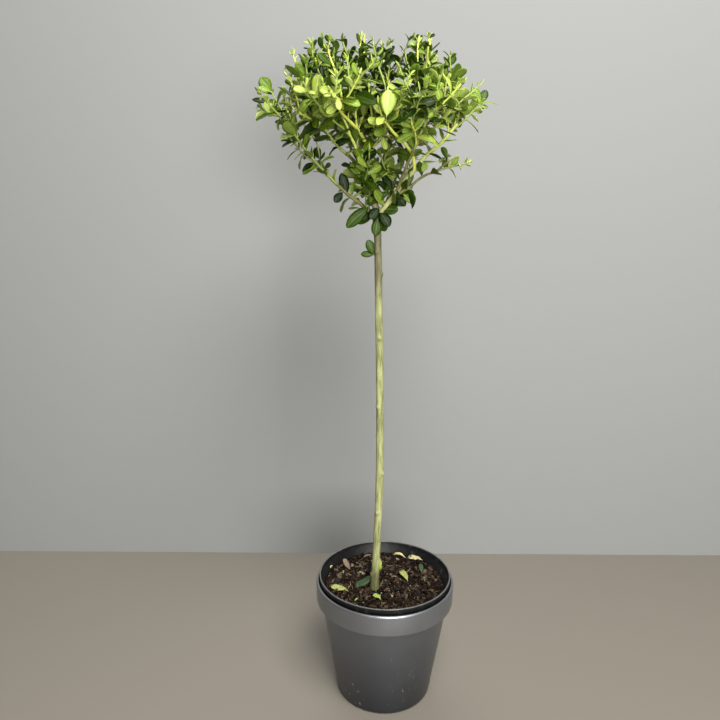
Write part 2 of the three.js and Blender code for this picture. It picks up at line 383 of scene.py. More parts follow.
peat = Finish("peat", roughness=0.9, specular_ior_level=0.08)
peat_lumps = peat.noise(0.004, 5, 0.65)
peat_tone = peat.node(
    "ValToRGB",
    {"stops": [(0.35, (0.002, 0.001, 0.0006)), (0.55, (0.012, 0.006, 0.003)), (0.75, (0.05, 0.03, 0.017))]},
    {"Fac": peat_lumps},
)
peat.set("Base Color", peat_tone)
peat.bump(peat.noise(0.0016, 4, 0.7), 0.001)

compost = add_piece("compost_bed", "compost", bed_points, bed_faces, [peat])
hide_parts("compost")


def mottled(name, first, second, clouds, edges, grain, relief, **values):
    """A finish that clouds from one colour to another, with a fine relief of its own."""
    finish = Finish(name, **values)
    share = finish.noise(*clouds)
    if edges:
        share = finish.step(share, *edges)
    finish.set("Base Color", finish.blend(share, first, second))
    finish.bump(finish.noise(*grain), relief)
    return finish


CHIP_STREAKS = (0.0022, 4, 0.65)
CHIP_COLOURS = {
    "dark": ((0.002, 0.001, 0.0006), (0.011, 0.005, 0.003)),
    "brown": ((0.014, 0.008, 0.004), (0.05, 0.03, 0.016)),
    "tan": ((0.045, 0.031, 0.017), (0.15, 0.11, 0.065)),
    "pale": ((0.16, 0.125, 0.08), (0.4, 0.34, 0.23)),
}
CHIP_SHARES = [0.5, 0.355, 0.125, 0.02]
chip_finishes = []
for name, colours in CHIP_COLOURS.items():
    look = ("bark_chip_" + name, *colours, CHIP_STREAKS, (0.3, 0.7), CHIP_STREAKS, 0.0005)
    chip_finishes.append(mottled(*look, roughness=0.6, specular_ior_level=0.16))

CHIP_CORNERS = np.array([(x, y, z) for x in (-1, 1) for y in (-1, 1) for z in (-1, 1)], dtype=float)
CHIP_FACES = np.array([(0, 1, 3, 2), (4, 6, 7, 5), (0, 4, 5, 1), (2, 3, 7, 6), (0, 2, 6, 4), (1, 5, 7, 3)])


def random_turn(flatness):
    """A rotation about a random upright angle, then a tip whose size flatness holds down."""
    spin = Matrix.Rotation(rng.uniform(0, math.tau), 3, "Z")
    tip = Matrix.Rotation(rng.normal(0, flatness), 3, "X") @ Matrix.Rotation(rng.normal(0, flatness), 3, "Y")
    return np.array(spin @ tip)


def compost_place(edge=0.004):
    """A random place on the compost, evenly spread over its disc."""
    radius = (COMPOST_RADIUS - edge) * math.sqrt(rng.uniform())
    angle = rng.uniform(0, math.tau)
    return radius * math.cos(angle), radius * math.sin(angle)


class Bundle:
    """Gathers many small closed shapes into one mesh."""

    def __init__(self):
        self.points, self.faces, self.worn, self.count = [], [], [], 0

    def add(self, points, faces, worn=0):
        self.points.append(np.asarray(points))
        self.faces += [tuple(int(corner) + self.count for corner in face) for face in faces]
        self.worn += list(worn) if np.ndim(worn) else [worn] * len(faces)
        self.count += len(points)

    def make(self, name, slot, finishes):
        return add_piece(name, slot, np.vstack(self.points), self.faces, finishes, self.worn)


def scatter_chips(name, count, longest, shortest):
    """Broken pieces, each an uneven block with its corners knocked in."""
    chips = Bundle()
    for _ in range(count):
        long = rng.uniform(shortest, longest) * rng.uniform(0.6, 1)
        half = np.array((long, long * rng.uniform(0.25, 0.7), long * rng.uniform(0.12, 0.4))) / 2
        corners = CHIP_CORNERS * half * rng.uniform(0.55, 1.15, (8, 3))
        x, y = compost_place(long / 2 + 0.0005)
        lift = bed_height(x, y) + half[2] * rng.uniform(-0.4, 1.2)
        corners = corners @ random_turn(0.55).T + (x, y, lift)
        chips.add(corners, CHIP_FACES, rng.choice(len(CHIP_SHARES), p=CHIP_SHARES))
    chips.make(name, "compost", chip_finishes).data.shade_flat()


scatter_chips("bark_chips", 1300, 0.0105, 0.003)
scatter_chips("bark_crumbs", 4200, 0.0032, 0.0012)


def headings(path):
    """The direction of a path at each of its points."""
    ahead = np.gradient(path, axis=0)
    return ahead / np.linalg.norm(ahead, axis=1)[:, None]


def carried_frames(path):
    """Two side directions at each point of a path, carried along it without twisting."""
    ahead = headings(path)
    side = np.cross(ahead[0], (0.31, 0.87, 0.38))
    sides = []
    for direction in ahead:
        side = side - direction * side.dot(direction)
        side /= np.linalg.norm(side)
        sides.append(side)
    sides = np.array(sides)
    return sides, np.cross(ahead, sides)


def tube(path, radii, sides, relief=None):
    """Points and faces of a closed limb. relief(share, angle) scales its radius."""
    path = np.asarray(path, dtype=float)
    across, over = carried_frames(path)
    angles = np.arange(sides) / sides * math.tau
    swell = np.ones((len(path), sides))
    if relief:
        for step in range(len(path)):
            swell[step] = [relief(step / (len(path) - 1), angle) for angle in angles]
    reach = np.asarray(radii)[:, None] * swell
    points = (
        path[:, None]
        + across[:, None] * (reach * np.cos(angles))[..., None]
        + over[:, None] * (reach * np.sin(angles))[..., None]
    ).reshape(-1, 3)
    side = np.arange(sides)
    after = (side + 1) % sides
    faces = []
    for step in range(len(path) - 1):
        low, high = step * sides, (step + 1) * sides
        faces += np.stack((low + side, low + after, high + after, high + side), axis=1).tolist()
    last = (len(path) - 1) * sides
    faces.append(list(reversed(range(sides))))
    faces.append(list(range(last, last + sides)))
    return points, faces


fibre_pale = Finish("fibre_pale", base_color=(0.42, 0.3, 0.19), roughness=0.8)
fibre_tan = Finish("fibre_tan", base_color=(0.2, 0.11, 0.06), roughness=0.8)
FIBRES = 60
fibres = Bundle()
for _ in range(FIBRES):
    length = rng.uniform(0.004, 0.014)
    x, y = compost_place(0.009)
    heading = rng.uniform(0, math.tau)
    turn = rng.normal(0, 1.4)
    share = np.linspace(-0.5, 0.5, 7)
    bend = heading + turn * share
    wavy = 0.0012 * rng.uniform(-1, 1, 7)
    tipped = rng.normal(0, 0.12) * length * share
    path = (
        x + length * share * np.cos(bend),
        y + length * share * np.sin(bend),
        bed_height(x, y) + 0.0016 + wavy + tipped,
    )
    path = np.stack(path, axis=1)
    fibres.add(*tube(path, np.full(7, rng.uniform(0.00012, 0.0003)), 4), int(rng.uniform() < 0.55))
fibres.make("compost_fibres", "compost", [fibre_pale, fibre_tan])


# ---- Stem ----
# One straight young trunk, smooth and olive green, with the scars of the buds that were rubbed
# off it and a tan, wrinkled collar below the fork. It widens a little as it enters the compost.
# Its upper part is painted darker under the head, as painted shade.

COMPOST_GAP = 0.0003
STEM_FOOT = np.array((-0.0127, -0.012, COMPOST_TOP + COMPOST_GAP))
FORK = np.array((-0.015, 0, 0.596))
STEM_BOW = 0.0055
STEM_RADIUS = 0.0047
FORK_RADIUS = 0.0041
ROOT_FLARE = 0.0013
ROOT_FLARE_HEIGHT = 0.014
STEM_STEPS = 420
STEM_SIDES = 36
FORK_SWELL = 0.0008
FORK_SWELL_HEIGHT = 0.582
COLLAR_HEIGHT = 0.566
SCAR_RISE = 0.0022
BUD_SCARS = [(0.16, 20), (0.178, 200), (0.205, 300), (0.241, 90), (0.246, 265), (0.29, 160),
             (0.335, 330), (0.372, 60), (0.418, 230), (0.452, 120), (0.49, 310), (0.525, 200), (0.55, 80)]


def through(places, steps):
    """A smooth path of steps points through a few places, evenly spaced along it."""
    places = np.asarray(places, dtype=float)
    ends = np.vstack((2 * places[0] - places[1], places, 2 * places[-1] - places[-2]))
    path = []
    t = np.linspace(0, 1, 24, endpoint=False)[:, None]
    for a, b, c, d in zip(ends, ends[1:], ends[2:], ends[3:]):
        square, cube = 2 * a - 5 * b + 4 * c - d, 3 * b - a - 3 * c + d
        path.append(0.5 * (2 * b + (c - a) * t + square * t**2 + cube * t**3))
    path = np.vstack((*path, places[-1:]))
    along = np.append(0, np.cumsum(np.linalg.norm(np.diff(path, axis=0), axis=1)))
    even = np.linspace(0, along[-1], steps)
    return np.stack([np.interp(even, along, path[:, axis]) for axis in range(3)], axis=1)


stem_third = STEM_FOOT + (FORK - STEM_FOOT) * 0.36 + (STEM_BOW, 0, 0)
stem_upper = STEM_FOOT + (FORK - STEM_FOOT) * 0.86 + (STEM_BOW * 0.4, 0, 0)
stem_path = through([STEM_FOOT, stem_third, stem_upper, FORK], STEM_STEPS)
stem_rise = stem_path[:, 2] - STEM_FOOT[2]
stem_radii = np.interp(stem_rise, (0, stem_rise[-1]), (STEM_RADIUS, FORK_RADIUS))
stem_radii += ROOT_FLARE * np.exp(-stem_rise / ROOT_FLARE_HEIGHT)
stem_radii += FORK_SWELL * np.exp(-(((stem_path[:, 2] - FORK_SWELL_HEIGHT) / 0.011) ** 2))


def stem_relief(share, angle):
    """Long shallow ribs, fine wrinkles, bud scars and the rings of the collar."""
    height = STEM_FOOT[2] + share * stem_rise[-1]
    round_it = Vector((math.cos(angle), math.sin(angle), 0))
    ribs = 0.045 * noise.noise(round_it * 1.6 + Vector((0, 0, height * 14)))
    wrinkles = 0.02 * noise.noise(round_it * 5 + Vector((0, 0, height * 160)))
    collar = math.exp(-(((height - COLLAR_HEIGHT) / 0.016) ** 2))
    rings = 0.06 * collar * noise.noise(Vector((round_it.x, round_it.y, height * 420)))
    scars = 0
    for scar, degrees in BUD_SCARS:
        turn = math.cos(angle - math.radians(degrees))
        rise = (height - scar) / SCAR_RISE
        if turn > 0 and abs(rise) < 3:
            scars += 0.4 * turn**6 * math.exp(-(rise**2)) - 0.1 * turn**10 * math.exp(-((rise * 2.4) ** 2))
    return 1 + ribs + wrinkles + rings + scars


def bark_with(name, low_colours, high_colours, change, softness=0.03):
    """Young bark that turns from one pair of colours to another at a height, with pores."""
    bark = Finish(name, roughness=0.6, specular_ior_level=0.3)
    up = bark.node("SeparateXYZ", None, {0: bark.place}, "Z")
    clouds = bark.noise(0.02, 4, 0.6, stretch=(1, 1, 0.4))
    streaks = bark.noise(0.0028, 4, 0.65, stretch=(1, 1, 0.12))
    pores = bark.step(bark.noise(0.0017, 2, 0.5, stretch=(1, 1, 0.5)), 0.66, 0.72)
    share = bark.step(streaks * 0.6 + clouds * 0.4, 0.35, 0.65)
    low = bark.blend(share, *low_colours)
    high = bark.blend(share, *high_colours)
    colour = bark.blend(bark.step(up + clouds * 0.04, change, change + softness), low, high)
    colour = bark.blend(pores * 0.6, colour, (0.07, 0.055, 0.025))
    # The bark turns darker towards the stem's foot, below about 0.17 m.
    darker_near_foot = bark.step(up + clouds * 0.012, 0.184, 0.162)
    bark.set("Base Color", bark.blend(darker_near_foot * 0.75, colour, (0.06, 0.055, 0.02)))
    bark.bump(streaks * 0.6 + pores * 0.4, 0.0005)
    return bark


GREEN_BARK = ((0.13, 0.145, 0.05), (0.4, 0.41, 0.19))
PAINTED_SHADE_BARK = ((0.07, 0.068, 0.03), (0.2, 0.19, 0.1))
TAN_BARK = ((0.12, 0.105, 0.05), (0.4, 0.37, 0.21))
PALE_BARK = ((0.28, 0.3, 0.11), (0.5, 0.51, 0.22))
OLIVE_BARK = ((0.09, 0.1, 0.03), (0.24, 0.24, 0.08))
LIME_BARK = ((0.42, 0.5, 0.09), (0.6, 0.68, 0.16))
# From half a metre up, the stem is painted darker, as painted shade under the head.
bark = bark_with("stem_bark", GREEN_BARK, PAINTED_SHADE_BARK, 0.5, 0.05)

stem_mesh = tube(stem_path, stem_radii, STEM_SIDES, stem_relief)
stem = add_piece("stem_bark", "bark", *stem_mesh, [bark])
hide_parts("stem")


# ---- Boughs ----
# The main boughs rise from the fork and from one another. Each is one tapering limb that runs
# on into the leaves, tan and wrinkled where it is old and greener towards its tip.


def heading(azimuth, rise):
    """A direction. Azimuth runs from +X towards the back, and rise is the angle above level."""
    azimuth, rise = math.radians(azimuth), math.radians(rise)
    flat = math.cos(rise)
    return np.array((flat * math.cos(azimuth), flat * math.sin(azimuth), math.sin(rise)))


KINK_SEED = 6.2


def wander(limb_number, along):
    """How a limb strays from its smooth line: a slow random drift in each direction."""
    places = [Vector((limb_number + KINK_SEED, along, 11.3 * axis)) for axis in range(3)]
    return [noise.noise(place) for place in places]


# name: (parent, share along it, azimuth, rise, added rise, length, radius at the foot)
BOUGHS = {
    "leader": ("stem", 1, 176, 72, -2, 0.125, 0.0038),
    "right": ("stem", 0.98, 354, 54, -10, 0.13, 0.0031),
    "left_low": ("stem", 0.985, 182, 33, 18, 0.112, 0.0023),
    "upright": ("leader", 0.28, 10, 80, -6, 0.1, 0.0026),
    "left": ("leader", 0.32, 190, 44, 4, 0.09, 0.002),
    "back_left": ("leader", 0.12, 122, 50, 0, 0.11, 0.0022),
    "back_right": ("right", 0.12, 62, 50, -2, 0.11, 0.0021),
    "right_low": ("right", 0.18, 346, 34, -4, 0.08, 0.0018),
    "front_left": ("leader", 0.2, 238, 54, -4, 0.105, 0.0018),
    "front_right": ("right", 0.26, 298, 52, -2, 0.1, 0.002),
}
BOUGH_TAPER = 0.5
BOUGH_KINK = 0.0022
BOUGH_STEPS = 60
BOUGH_SIDES = 14


class Limb:
    """A path with its radius at each point, which other limbs can grow from."""

    def __init__(self, path, radii, order, young=False, bare=0):
        self.path, self.radii, self.order = path, radii, order
        self.young, self.bare = young, bare

    def at(self, share):
        step = share * (len(self.path) - 1)
        low = min(int(step), len(self.path) - 2)
        return self.path[low] + (self.path[low + 1] - self.path[low]) * (step - low)


limbs = {"stem": Limb(stem_path, stem_radii, 0)}
for number, (name, bough) in enumerate(BOUGHS.items(), 1):
    parent, share, azimuth, rise, curl, length, radius = bough
    foot = limbs[parent].at(share)
    knee = foot + heading(azimuth, rise) * length / 2
    tip = knee + heading(azimuth, rise + curl) * length / 2
    t = np.linspace(0, 1, BOUGH_STEPS)[:, None]
    path = foot * (1 - t) ** 2 + knee * 2 * t * (1 - t) + tip * t**2
    kinks = np.array([wander(number * 7.3, s * 5.5) for s in t[:, 0]])
    path = path + kinks * BOUGH_KINK * np.minimum(1, t * 4)
    radii = radius * np.interp(t[:, 0], (0, 1), (1, BOUGH_TAPER))
    limbs[name] = Limb(path, radii, 1)


def bough_relief(share, angle, seed):
    """Wrinkles, and a ring where each pair of leaves was."""
    round_it = Vector((math.cos(angle), math.sin(angle), seed))
    wrinkles = 0.16 * noise.noise(round_it * 2 + Vector((0, 0, share * 22)))
    rings = 0.16 * max(0, math.cos(share * 11 * math.tau)) ** 14
    return 1 + wrinkles + rings


old_bough = bark_with("old_bough", TAN_BARK, ((0.2, 0.21, 0.08), (0.42, 0.4, 0.2)), 0.66)
pale_bough = bark_with("pale_bough", PALE_BARK, LIME_BARK, 0.655)
olive_bough = bark_with("olive_bough", OLIVE_BARK, ((0.24, 0.3, 0.06), (0.42, 0.5, 0.12)), 0.66)
BOUGH_FINISHES = {"leader": old_bough, "upright": old_bough, "right": pale_bough, "front_left": pale_bough}

for number, name in enumerate(BOUGHS):
    limb = limbs[name]
    finish = BOUGH_FINISHES.get(name, olive_bough)
    relief = lambda share, angle: bough_relief(share, angle, number * 3.1)
    bough_mesh = tube(limb.path, limb.radii, BOUGH_SIDES, relief)
    bough = add_piece("bough_bark_" + name, "bark", *bough_mesh, [finish])
    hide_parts("bough_" + name)


# ---- Twigs ----
# Shoots grow from the boughs, and from older shoots, up and out to fill the head. This
# season's are a bright yellow green, and last season's have turned olive.

LEAF_NODES = sorted(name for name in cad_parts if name.startswith("leaves_"))
HEAD = np.array((-0.018, 0, 0.704))
HEAD_TOP = 0.774
HEAD_TOP_SLOPE = 0.23
HEAD_WIDEST = 0.7
HEAD_REACH = 0.1
HEAD_TAPER = 0.9
OLD_WOOD_TOP = 0.672
HIGH_WOOD = 0.74
YOUNG_SHARE = 0.4
HIGH_YOUNG_SHARE = 0.26
# The lines of the two bare shoots at the front, and how far the others keep off them.
FRONT_GAPS = [
    ((0.02, -0.04, 0.655), (-0.012, -0.088, 0.69)),
    ((-0.022, -0.04, 0.665), (-0.055, -0.085, 0.695)),
]
FRONT_GAP_RADIUS = 0.017
# How far apart the twigs' tips are, and how much closer or wider in some masses.
TIP_SPACING = 0.0205
PLAIN_CROWDING = 0.95
CROWDING = {
    "leaves_heart": 0.66,
    "leaves_top": 0.78,
    "leaves_top_left": 0.78,
    "leaves_top_right": 0.78,
    "leaves_low_left": 1.5,
    "leaves_low_right": 1.5,
    "leaves_low_front": 1.5,
    "leaves_low_back": 0.9,
    "leaves_fork": 1.5,
}
TIP_TRIES = 400
TWIG_SIDES = 6
TWIG_STEP = 0.003
TWIG_TIP_RADIUS = 0.0007
TWIG_MIDDLE_RADIUS = 0.00095
TWIG_THICKENING = 0.0085
TWIG_KINK = 0.0016
BARE_SHOOT_SWELL = 1.35
SHORTEST_TWIG = 0.022
rng = np.random.default_rng(5)

mass_boxes = {name: [np.array(corner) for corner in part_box(name)] for name in LEAF_NODES}


def off_line(place, start, end):
    """How far a place is from the straight line between two others."""
    along = np.subtract(end, start)
    share = np.clip(np.dot(place - start, along) / along.dot(along), 0, 1)
    return np.linalg.norm(place - start - share * along)


def tips_in(name, tries):
    """Random places near the surface of one leaf mass, on the side that faces away from the fork."""
    low, high = mass_boxes[name]
    middle, reach = (low + high) / 2, (high - low) / 2
    for _ in range(tries):
        way = rng.normal(size=3)
        way /= np.linalg.norm(way)
        place = middle + way * reach * rng.uniform(0.3, 0.92)
        outward = place - FORK
        from_middle = math.hypot(place[0] - HEAD[0], place[1])
        too_high = place[2] > HEAD_TOP + HEAD_TOP_SLOPE * place[1]
        below = HEAD_WIDEST - place[2]
        too_wide = below > 0 and from_middle > HEAD_REACH - HEAD_TAPER * below
        in_gap = any(off_line(place, *line) < FRONT_GAP_RADIUS for line in FRONT_GAPS)
        if too_high or too_wide or in_gap:
            continue
        if way.dot(outward / np.linalg.norm(outward)) > -0.55:
            yield place


# Shoots that stand out from the rest: the bough that each grows from and where along it (or
# None for the nearest), its tip, whether it is this season's, and how much of it is bare.
STANDING_SHOOTS = [
    ("right", 0.5, (-0.016, -0.079, 0.693), True, 0.74),
    ("upright", 0.25, (-0.069, -0.085, 0.71), True, 0.6),
    ("front_left", 0.8, (-0.051, -0.085, 0.703), True, 0.4),
    ("left_low", 0.5, (-0.13, -0.009, 0.706), False, 0.1),
    ("left_low", 0.85, (-0.128, -0.006, 0.717), False, 0.1),
    ("left_low", 0.6, (-0.112, 0.0, 0.672), False, 0.1),
    ("left", 0.8, (-0.104, -0.015, 0.75), True, 0.15),
    ("left", 0.6, (-0.1, 0.03, 0.703), False, 0.1),
    (None, 0, (-0.062, 0.01, 0.766), False, 0.2),
    (None, 0, (-0.034, -0.02, 0.767), True, 0.2),
    (None, 0, (-0.002, 0.0, 0.766), False, 0.2),
    ("upright", 0.9, (0.016, -0.01, 0.766), False, 0.2),
    (None, 0, (0.037, -0.015, 0.767), True, 0.3),
    ("right", 0.98, (0.07, 0.005, 0.728), True, 0.2),
    ("right", 0.85, (0.0935, -0.008, 0.7065), False, 0.25),
    ("right_low", 0.7, (0.08, -0.02, 0.645), False, 0.2),
    ("right_low", 0.9, (0.062, 0.012, 0.655), False, 0.2),
    (None, 0, (-0.018, -0.09, 0.734), False, 0.1),
    (None, 0, (-0.02, 0.1, 0.735), True, 0.1),
    (None, 0, (-0.012, 0.097, 0.706), False, 0.1),
]

tips = [(np.array(place), young, bare, name, share) for name, share, place, young, bare in STANDING_SHOOTS]
for name in LEAF_NODES:
    spacing = TIP_SPACING * CROWDING.get(name, PLAIN_CROWDING)
    for place in tips_in(name, TIP_TRIES):
        if min(np.linalg.norm(place - tip[0]) for tip in tips) > spacing:
            young = rng.uniform() < (HIGH_YOUNG_SHARE if place[2] > HIGH_WOOD else YOUNG_SHARE)
            tips.append((place, young and place[2] > OLD_WOOD_TOP, 0.1, None, 0))
tips.sort(key=lambda tip: np.linalg.norm(tip[0] - FORK))


class Store:
    """Every point that a twig can grow from, with its direction and its limb."""

    def __init__(self):
        self.place, self.ahead, self.limb, self.step = [], [], [], []

    def add(self, limb, first, last):
        ahead = headings(limb.path)
        count = len(limb.path)
        for step in range(int(first * count), int(last * count)):
            self.place.append(limb.path[step])
            self.ahead.append(ahead[step])
            self.limb.append(limb)
            self.step.append(step)

    def nearest(self, target):
        """The best point to grow from: near, behind the target and pointing roughly at it."""
        place, ahead = np.array(self.place), np.array(self.ahead)
        gap = target - place
        far = np.linalg.norm(gap, axis=1)
        turn = (gap * ahead).sum(axis=1) / far
        cost = far * (1.35 - 0.7 * turn) + 0.6 * np.maximum(0, place[:, 2] - target[2] + 0.03)
        cost[far < SHORTEST_TWIG] += 0.05
        cost[turn < -0.1] += 0.2
        best = int(np.argmin(cost * rng.uniform(0.9, 1.1, len(cost))))
        return self.limb[best], self.step[best], self.place[best], self.ahead[best]


store = Store()
for name in BOUGHS:
    store.add(limbs[name], 0.22, 1)

twigs = []
for target, young, bare, name, share in tips:
    if name:
        parent = limbs[name]
        step = int(share * (len(parent.path) - 1))
        foot, ahead = parent.path[step], heading(*BOUGHS[name][2:4])
    else:
        parent, step, foot, ahead = store.nearest(target)
    gap = target - foot
    far = np.linalg.norm(gap)
    outward = target - HEAD + (0, 0, 0.06)
    outward /= np.linalg.norm(outward)
    leaving = ahead * 0.55 + gap / far * 0.75
    arriving = gap / far * 0.7 + outward * 0.5 + np.array((0, 0, 0.35))
    leaving *= far / 3 / np.linalg.norm(leaving)
    arriving *= far / 3 / np.linalg.norm(arriving)
    count = max(8, int(far / TWIG_STEP))
    t = np.linspace(0, 1, count)[:, None]
    path = (
        foot * (1 - t) ** 3
        + (foot + leaving) * 3 * t * (1 - t) ** 2
        + (target - arriving) * 3 * t**2 * (1 - t)
        + target * t**3
    )
    kinks = np.array([wander(90 + len(twigs) * 1.7, s * far * 45) for s in t[:, 0]])
    path = path + kinks * TWIG_KINK * np.minimum(1, t * 3)
    thick = min(parent.radii[step] * 0.85, TWIG_TIP_RADIUS + TWIG_THICKENING * far)
    radii = (max(thick, 0.0009), TWIG_MIDDLE_RADIUS, TWIG_TIP_RADIUS)
    radii = np.interp(t[:, 0], (0, 0.75, 1), radii) * (BARE_SHOOT_SWELL if bare > 0.25 else 1)
    twig = Limb(path, radii, parent.order + 1, young, bare)
    twigs.append(twig)
    store.add(twig, 0.15, 0.75)


# Smooth young bark: last season's, this season's, and what lies between them.
TWIG_COLOURS = {
    "olive": ((0.12, 0.14, 0.04), (0.3, 0.31, 0.11)),
    "lime": ((0.6, 0.68, 0.08), (0.84, 0.87, 0.2)),
    "green": ((0.2, 0.28, 0.05), (0.38, 0.47, 0.1)),
}
twig_finishes = [
    mottled("twig_" + name, *colours, (0.006, 3), None, (0.0012, 3), 0.0002, roughness=0.5)
    for name, colours in TWIG_COLOURS.items()
]
OLIVE, LIME, GREEN = range(3)

shoots = Bundle()
for number, twig in enumerate(twigs):
    length = np.linalg.norm(np.diff(twig.path, axis=0), axis=1).sum()
    joints = length / 0.011
    relief = lambda share, angle: 1 + 0.2 * max(0, math.cos(share * joints * math.tau)) ** 10
    tone = LIME if twig.young else (OLIVE if twig.order < 3 and number % 3 else GREEN)
    shoots.add(*tube(twig.path, twig.radii, TWIG_SIDES, relief), tone)
shoots.make("twigs", "bark", twig_finishes)


# ---- Leaves ----
# Small leathery evergreen leaves, in pairs along the shoots. Each is blunt and widest beyond
# its middle, folded a little along a pale rib, glossy above and paler and duller below.

STALK_HALF = 0.00045
LEAF_HALF_THICK = 0.00017
RIB_DEPTH = 0.00022


class LeafGrid:
    """The rows and columns of points that a leaf is laid out on, and its faces."""

    def __init__(self, rows, columns):
        self.rows, self.columns = np.array(rows), np.array(columns)
        self.edge = len(columns)
        self.faces, self.worn = [], []
        for row in range(len(rows) - 1):
            for column in range(self.edge - 1):
                a, b = self.above(row, column), self.above(row, column + 1)
                c, d = self.above(row + 1, column + 1), self.above(row + 1, column)
                self.faces.append((a, b, c, d))
                self.worn.append(2 if column == self.edge // 2 - 1 or row == 0 else 0)
                a, b = self.below(row, column), self.below(row + 1, column)
                c, d = self.below(row + 1, column + 1), self.below(row, column + 1)
                self.faces.append((a, b, c, d))
                self.worn.append(1)
        last, tip = len(rows) - 1, len(rows) * self.edge
        for column in range(self.edge - 1):
            self.faces.append((self.above(last, column), self.above(last, column + 1), tip))
            self.faces.append((self.below(last, column + 1), self.below(last, column), tip))
            self.worn += [0, 1]
        foot = [self.above(0, c) for c in reversed(range(self.edge))]
        self.faces.append(foot + [self.below(0, c) for c in range(1, self.edge - 1)])
        self.worn.append(1)

    def above(self, row, column):
        return row * self.edge + column

    def below(self, row, column):
        if column in (0, self.edge - 1):
            return self.above(row, column)
        return len(self.rows) * self.edge + row * (self.edge - 2) + column


BROAD_LEAF = LeafGrid((-0.1, 0, 0.1, 0.27, 0.46, 0.64, 0.8, 0.92, 0.975), (-1, -0.55, -0.06, 0.06, 0.55, 1))
BUD_LEAF = LeafGrid((-0.05, 0.1, 0.35, 0.65, 0.9), (-1, -0.1, 0.1, 1))


def leaf_outline(share, narrow):
    """A leaf's width along its length, rounder at the tip than at the foot."""
    return share ** (0.85 - 0.1 * narrow) * (1 - share) ** (0.52 + 0.5 * narrow)


def leaf_points(grid, length, width, fold, arch, twist, wave, narrow=0.0):
    """One leaf that points along +Y with its upper side up. narrow makes its tip sharper."""
    outline = leaf_outline(np.clip(grid.rows, 0, 1), narrow)
    outline /= leaf_outline(np.linspace(0.01, 0.99, 99), narrow).max()
    half = np.maximum(width / 2 * outline, STALK_HALF)
    across = half[:, None] * grid.columns
    lift = np.abs(across) * math.tan(fold) - (grid.columns**4) * half[:, None] * 0.12
    lift = lift + wave * half[:, None] * np.abs(grid.columns) * np.sin(grid.rows * 9 + wave * 40)[:, None]
    along = np.repeat(grid.rows[:, None] * length, grid.edge, axis=1)
    above = np.stack((across * math.cos(fold), along, lift), axis=2)
    below = above[:, 1:-1].copy()
    thick = LEAF_HALF_THICK * (1 - grid.columns[1:-1] ** 2)
    above[:, 1:-1, 2] += thick
    below[:, :, 2] -= thick + RIB_DEPTH * (np.abs(grid.columns[1:-1]) < 0.1)
    tip = np.array([[0, length, 0]])
    points = np.vstack((above.reshape(-1, 3), tip, below.reshape(-1, 3)))
    turn = twist * points[:, 1] / length
    x = points[:, 0] * np.cos(turn) - points[:, 2] * np.sin(turn)
    z = points[:, 0] * np.sin(turn) + points[:, 2] * np.cos(turn)
    bend = arch / length
    y = points[:, 1]
    if abs(bend) > 1e-3:
        y, drop = np.sin(bend * y) / bend, (1 - np.cos(bend * y)) / bend
        y, z = y + z * np.sin(bend * points[:, 1]), z * np.cos(bend * points[:, 1]) - drop
    return np.stack((x, y, z), axis=1)


def lay(points, foot, ahead, up):
    """Turns a leaf so that it starts at foot, points ahead and has its upper side towards up."""
    ahead = ahead / np.linalg.norm(ahead)
    up = up - ahead * up.dot(ahead)
    up /= np.linalg.norm(up)
    return foot + points @ np.stack((np.cross(ahead, up), ahead, up))


# name: (upper side, underside, rib)
# The tone a leaf gets stands partly for its age and partly for painted light and shade in the head.
LEAF_TONES = {
    "deep": ((0.006, 0.017, 0.0004), (0.028, 0.056, 0.005), (0.045, 0.085, 0.008)),
    "dark": ((0.027, 0.06, 0.001), (0.08, 0.135, 0.014), (0.09, 0.15, 0.016)),
    "mid": ((0.085, 0.148, 0.004), (0.18, 0.26, 0.035), (0.21, 0.3, 0.04)),
    "fresh": ((0.19, 0.285, 0.03), (0.31, 0.4, 0.085), (0.38, 0.47, 0.12)),
    "lime": ((0.36, 0.475, 0.075), (0.47, 0.57, 0.15), (0.6, 0.68, 0.22)),
}
LEAF_GLOW = Vector((0.75, 1, 0.2))
LEAF_GLOW_DEPTH = 0.001


def leaf_finish(name, colour, roughness, veined):
    """A waxy leaf surface in one plain green, with the slight quilting of its veins."""
    finish = Finish(name, base_color=colour, specular_ior_level=0.12 + 0.6 * colour[1])
    finish.set("Subsurface Weight", 0.3)
    finish.set("Subsurface Radius", LEAF_GLOW)
    finish.set("Subsurface Scale", LEAF_GLOW_DEPTH)
    blotches = finish.noise(0.009, 2)
    finish.set("Roughness", roughness + blotches * 0.14)
    finish.bump(finish.noise(0.0021, 3, 0.6), veined)
    return finish


BUD_LEAF_LENGTH = 0.0105
sprays = {}
for tone, (upper, lower, rib) in LEAF_TONES.items():
    finishes = [
        leaf_finish("leaf_" + tone, upper, 0.27, 0.0004),
        leaf_finish("leaf_under_" + tone, lower, 0.5, 0.0003),
        leaf_finish("leaf_rib_" + tone, rib, 0.36, 0.0001),
    ]
    sprays[tone] = (Bundle(), finishes)


def grow_leaf(foot, shoot_ahead, away, size, opening, tone, narrow=0.0):
    """Sets one leaf on a shoot, opened so far from the shoot's own direction."""
    ahead = shoot_ahead * math.cos(opening) + away * math.sin(opening)
    ahead = ahead + rng.normal(0, 0.16, 3)
    outward = foot - HEAD + (0, 0, 0.05)
    outward /= np.linalg.norm(outward)
    up = shoot_ahead * 0.8 + outward * 0.5 + np.array((0, -0.1, 0.3)) + rng.normal(0, 0.3, 3)
    width = size * rng.uniform(0.5, 0.66) * (1 - 0.45 * narrow)
    grid = BUD_LEAF if size < BUD_LEAF_LENGTH else BROAD_LEAF
    fold, arch = rng.uniform(0.08, 0.4), rng.normal(0.2, 0.4)
    blade = leaf_points(grid, size, width, fold, arch, rng.normal(0, 0.3), rng.uniform(0, 0.12), narrow)
    sprays[tone][0].add(lay(blade, foot, ahead, up), grid.faces, grid.worn)


TONES = list(LEAF_TONES)
LEAF_LENGTH = 0.0215
LEAF_PAIR_GAP = 0.0108
TIP_STRETCH = 0.02
